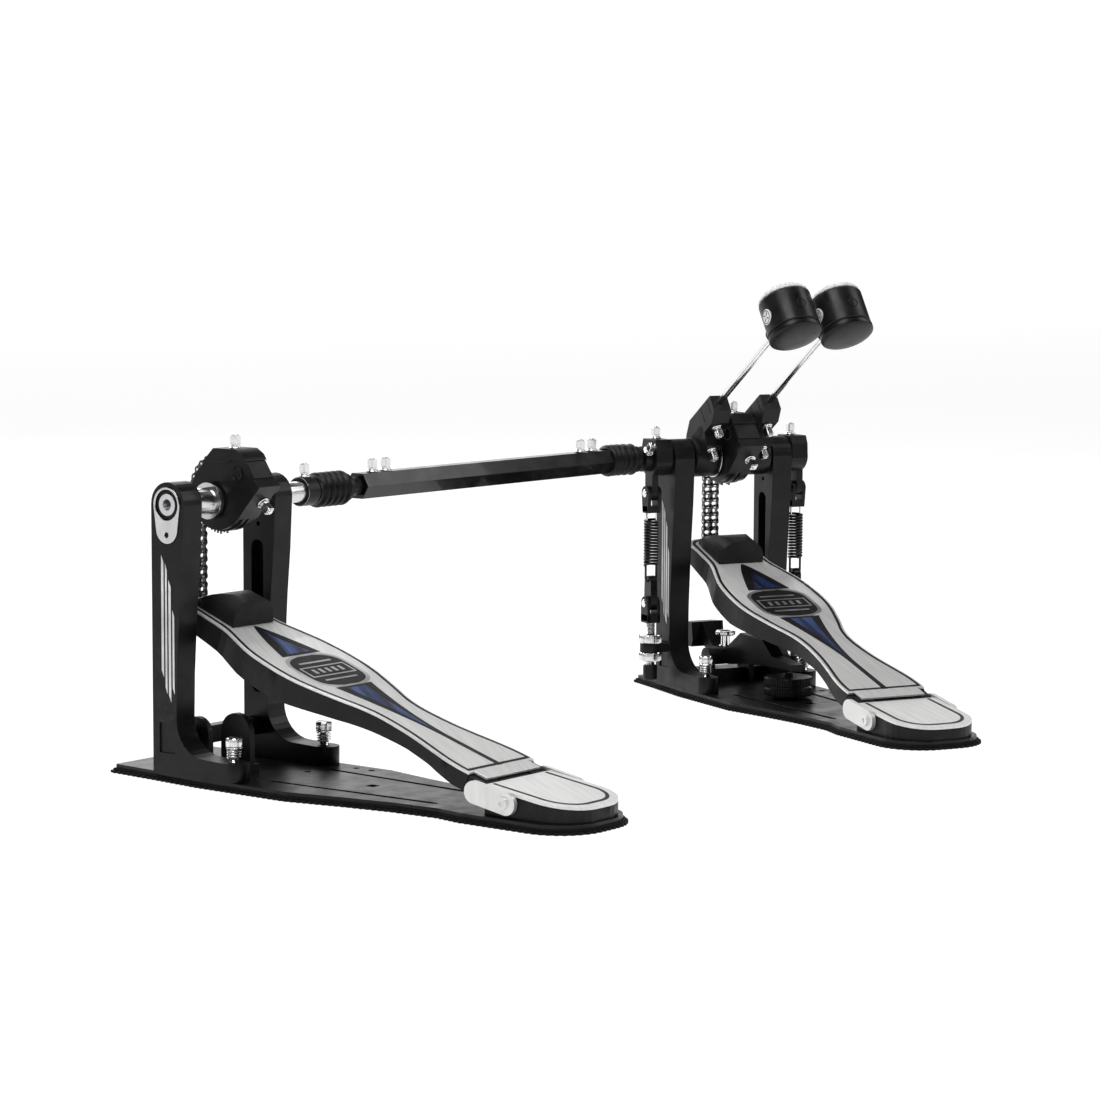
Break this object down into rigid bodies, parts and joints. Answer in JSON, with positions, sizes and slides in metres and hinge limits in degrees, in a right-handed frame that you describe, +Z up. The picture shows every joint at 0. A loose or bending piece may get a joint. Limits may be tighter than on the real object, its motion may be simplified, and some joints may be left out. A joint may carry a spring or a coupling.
{
  "type": "bass drum pedal",
  "caption": "Double bass drum pedal: main pedal with paired beaters and springs, joined by a telescoping universal-joint linkage to a slave pedal with the same footboard and chain drive.",
  "frame": {"origin": "on the floor, under the middle of the main pedal's axle", "axes": "+X to the player's right along the main axle, +Y toward the drum, +Z up"},
  "size_m": [0.7121, 0.6086, 0.3609],
  "materials": {
    "powder_coat": "black powder coat over die-cast aluminium, satin",
    "plate_steel": "black powder coat over steel plate, satin",
    "mat_rubber": "matt moulded rubber",
    "tread_silver": "fine brushed silver with black inlay lines",
    "board_black": "black powder coat, satin",
    "bright_steel": "polished chrome plate",
    "axle_steel": "turned steel",
    "chain_steel": "oiled steel, bright pins",
    "spring_steel": "black oxide spring wire",
    "tube_black": "gloss black paint",
    "boot_rubber": "matt rubber bellows",
    "head_plastic": "moulded black plastic, fine texture",
    "felt_white": "pressed wool felt",
    "stop_rubber": "matt rubber block"
  },
  "bodies": {
    "main_frame": {"main_base_plate": "plate_steel", "main_base_mat": "mat_rubber", "main_uprights": "powder_coat", "main_bearings": "axle_steel", "main_heel_block": "board_black", "main_heel_hinge": "tread_silver"},
    "hoop_clamp_arm": {"hoop_clamp_arm": "powder_coat"},
    "hoop_clamp_wheel": {"hoop_clamp_wheel": "head_plastic"},
    "hoop_clamp_thumbscrew": {"hoop_clamp_thumbscrew": "bright_steel"},
    "main_footboard": {"main_footboard": "board_black", "main_footboard_face": "tread_silver", "main_toe_stop": "stop_rubber", "main_chain": "chain_steel"},
    "main_axle": {"main_axle_shaft": "axle_steel", "main_cam": "powder_coat", "right_beater_hub": "powder_coat", "right_rocker": "powder_coat", "main_key_bolts": "bright_steel"},
    "right_beater": {"right_beater_rod": "bright_steel", "right_beater_head": "head_plastic", "right_beater_felt": "felt_white"},
    "left_drive": {"left_drive_sleeve": "powder_coat", "left_beater_hub": "powder_coat", "left_rocker": "powder_coat", "left_key_bolts": "bright_steel"},
    "left_beater": {"left_beater_rod": "bright_steel", "left_beater_head": "head_plastic", "left_beater_felt": "felt_white"},
    "linkage_swivel": {"main_joint_cross": "axle_steel", "main_joint_boot": "boot_rubber"},
    "linkage_tube": {"linkage_tube": "tube_black", "linkage_bolts": "bright_steel"},
    "slave_reach": {"slave_joint_cross": "axle_steel", "slave_joint_boot": "boot_rubber"},
    "linkage_rod": {"linkage_rod": "powder_coat"},
    "slave_frame": {"slave_base_plate": "plate_steel", "slave_base_mat": "mat_rubber", "slave_uprights": "powder_coat", "slave_bearings": "axle_steel", "slave_heel_block": "board_black", "slave_heel_hinge": "tread_silver"},
    "slave_axle": {"slave_axle_shaft": "axle_steel", "slave_cam": "powder_coat", "slave_key_bolts": "bright_steel"},
    "slave_footboard": {"slave_footboard": "board_black", "slave_footboard_face": "tread_silver", "slave_toe_stop": "stop_rubber", "slave_chain": "chain_steel"},
    "main_left_spur": {"main_left_spur": "bright_steel"},
    "main_right_spur": {"main_right_spur": "bright_steel"},
    "slave_left_spur": {"slave_left_spur": "bright_steel"},
    "slave_right_spur": {"slave_right_spur": "bright_steel"},
    "right_spring": {"right_spring": "spring_steel"},
    "right_spring_link": {"right_spring_link": "powder_coat"},
    "right_tension_rod": {"right_tension_rod": "powder_coat"},
    "right_tension_nuts": {"right_tension_nuts": "bright_steel"},
    "left_spring": {"left_spring": "spring_steel"},
    "left_spring_link": {"left_spring_link": "powder_coat"},
    "left_tension_rod": {"left_tension_rod": "powder_coat"},
    "left_tension_nuts": {"left_tension_nuts": "bright_steel"}
  },
  "joints": [
    {"name": "main_axle_spin", "type": "hinge", "parent": "main_frame", "child": "main_axle", "pos_m": [0, 0, 0.205], "axis": [-1, 0, 0], "range_deg": [0, 62], "stiffness_Nm_per_rad": 1.2, "springref_deg": -14.32},
    {"name": "main_footboard_hinge", "type": "hinge", "parent": "main_frame", "child": "main_footboard", "pos_m": [0, -0.272, 0.024], "axis": [-1, 0, 0], "range_deg": [0, 6], "deforming": ["main_chain"]},
    {"name": "slave_axle_spin", "type": "hinge", "parent": "slave_frame", "child": "slave_axle", "pos_m": [-0.55304, -0.21371, 0.205], "axis": [-0.9026, -0.4305, 0], "range_deg": [0, 62], "stiffness_Nm_per_rad": 1.2, "springref_deg": -14.32},
    {"name": "slave_footboard_hinge", "type": "hinge", "parent": "slave_frame", "child": "slave_footboard", "pos_m": [-0.43594, -0.45921, 0.024], "axis": [-0.9026, -0.4305, 0], "range_deg": [0, 6], "deforming": ["slave_chain"]},
    {"name": "left_drive_spin", "type": "hinge", "parent": "main_frame", "child": "left_drive", "pos_m": [0, 0, 0.205], "axis": [-1, 0, 0], "range_deg": [0, 62]},
    {"name": "linkage_swivel", "type": "hinge", "parent": "main_frame", "child": "linkage_swivel", "pos_m": [-0.105, 0, 0.205], "axis": [0, 0, 1], "range_deg": [-12, 12], "deforming": ["main_joint_boot"]},
    {"name": "slave_reach", "type": "slide", "parent": "linkage_swivel", "child": "slave_reach", "axis": [0.9026, 0.4305, 0], "range_m": [-0.05, 0.0015]},
    {"name": "slave_swivel", "type": "hinge", "parent": "slave_reach", "child": "slave_frame", "pos_m": [-0.44744, -0.16334, 0.205], "axis": [0, 0, 1], "range_deg": [-12, 12], "deforming": ["slave_joint_boot"]},
    {"name": "linkage_tube_spin", "type": "hinge", "parent": "linkage_swivel", "child": "linkage_tube", "pos_m": [-0.105, 0, 0.205], "axis": [-0.9026, -0.4305, 0], "range_deg": [0, 62]},
    {"name": "linkage_rod_spin", "type": "hinge", "parent": "slave_reach", "child": "linkage_rod", "pos_m": [-0.44744, -0.16334, 0.205], "axis": [-0.9026, -0.4305, 0], "range_deg": [0, 62]},
    {"name": "right_tension_slide", "type": "slide", "parent": "main_frame", "child": "right_tension_rod", "axis": [0, 0, 1], "range_m": [-0.0025, 0.0025]},
    {"name": "right_tension_nut_spin", "type": "hinge", "parent": "main_frame", "child": "right_tension_nuts", "pos_m": [0.073, 0, 0.04], "axis": [0, 0, 1], "range_deg": [-720, 720]},
    {"name": "right_spring_swing", "type": "hinge", "parent": "right_tension_rod", "child": "right_spring", "pos_m": [0.073, 0, 0.079], "axis": [1, 0, 0], "range_deg": [0, 14], "deforming": ["right_spring"]},
    {"name": "right_spring_link_pivot", "type": "hinge", "parent": "main_axle", "child": "right_spring_link", "pos_m": [0.073, 0, 0.175], "axis": [1, 0, 0], "range_deg": [0, 76]},
    {"name": "left_tension_slide", "type": "slide", "parent": "main_frame", "child": "left_tension_rod", "axis": [0, 0, 1], "range_m": [-0.0025, 0.0025]},
    {"name": "left_tension_nut_spin", "type": "hinge", "parent": "main_frame", "child": "left_tension_nuts", "pos_m": [-0.073, 0, 0.04], "axis": [0, 0, 1], "range_deg": [-720, 720]},
    {"name": "left_spring_swing", "type": "hinge", "parent": "left_tension_rod", "child": "left_spring", "pos_m": [-0.073, 0, 0.079], "axis": [1, 0, 0], "range_deg": [0, 14], "deforming": ["left_spring"]},
    {"name": "left_spring_link_pivot", "type": "hinge", "parent": "left_drive", "child": "left_spring_link", "pos_m": [-0.073, 0, 0.175], "axis": [1, 0, 0], "range_deg": [0, 76]},
    {"name": "right_beater_height", "type": "slide", "parent": "main_axle", "child": "right_beater", "axis": [0, -0.829, 0.5592], "range_m": [-0.004, 0.025]},
    {"name": "left_beater_height", "type": "slide", "parent": "left_drive", "child": "left_beater", "axis": [0, -0.829, 0.5592], "range_m": [-0.004, 0.025]},
    {"name": "main_left_spur_screw", "type": "slide", "parent": "main_frame", "child": "main_left_spur", "axis": [0, 0, 1], "range_m": [-0.003, 0.004]},
    {"name": "main_right_spur_screw", "type": "slide", "parent": "main_frame", "child": "main_right_spur", "axis": [0, 0, 1], "range_m": [-0.003, 0.004]},
    {"name": "slave_left_spur_screw", "type": "slide", "parent": "slave_frame", "child": "slave_left_spur", "axis": [0, 0, 1], "range_m": [-0.003, 0.004]},
    {"name": "slave_right_spur_screw", "type": "slide", "parent": "slave_frame", "child": "slave_right_spur", "axis": [0, 0, 1], "range_m": [-0.003, 0.004]},
    {"name": "hoop_clamp_wheel_spin", "type": "hinge", "parent": "main_frame", "child": "hoop_clamp_wheel", "pos_m": [0, -0.112, 0.017], "axis": [0, 0, 1], "range_deg": [0, 720]},
    {"name": "hoop_clamp_arm_pivot", "type": "hinge", "parent": "main_frame", "child": "hoop_clamp_arm", "pos_m": [0, -0.008, 0.03], "axis": [-1, 0, 0], "range_deg": [0, 5]},
    {"name": "hoop_clamp_thumbscrew_spin", "type": "hinge", "parent": "hoop_clamp_arm", "child": "hoop_clamp_thumbscrew", "pos_m": [0, -0.004, 0.042], "axis": [0, 0, 1], "range_deg": [-180, 180]}
  ],
  "couplings": [
    {"joint": "main_footboard_hinge", "follows": "main_axle_spin", "ratio": 0.093},
    {"joint": "slave_footboard_hinge", "follows": "slave_axle_spin", "ratio": 0.093},
    {"joint": "left_drive_spin", "follows": "slave_axle_spin", "ratio": 1},
    {"joint": "linkage_tube_spin", "follows": "slave_axle_spin", "ratio": 1},
    {"joint": "linkage_rod_spin", "follows": "slave_axle_spin", "ratio": 1},
    {"joint": "right_tension_nut_spin", "follows": "right_tension_slide", "rad_per_m": 5026.5},
    {"joint": "right_spring_swing", "follows": "main_axle_spin", "ratio": 0.2145},
    {"joint": "right_spring_link_pivot", "follows": "main_axle_spin", "ratio": 1.2145},
    {"joint": "left_tension_nut_spin", "follows": "left_tension_slide", "rad_per_m": 5026.5},
    {"joint": "left_spring_swing", "follows": "slave_axle_spin", "ratio": 0.2145},
    {"joint": "left_spring_link_pivot", "follows": "slave_axle_spin", "ratio": 1.2145},
    {"joint": "hoop_clamp_arm_pivot", "follows": "hoop_clamp_wheel_spin", "ratio": 0.0069444}
  ]
}
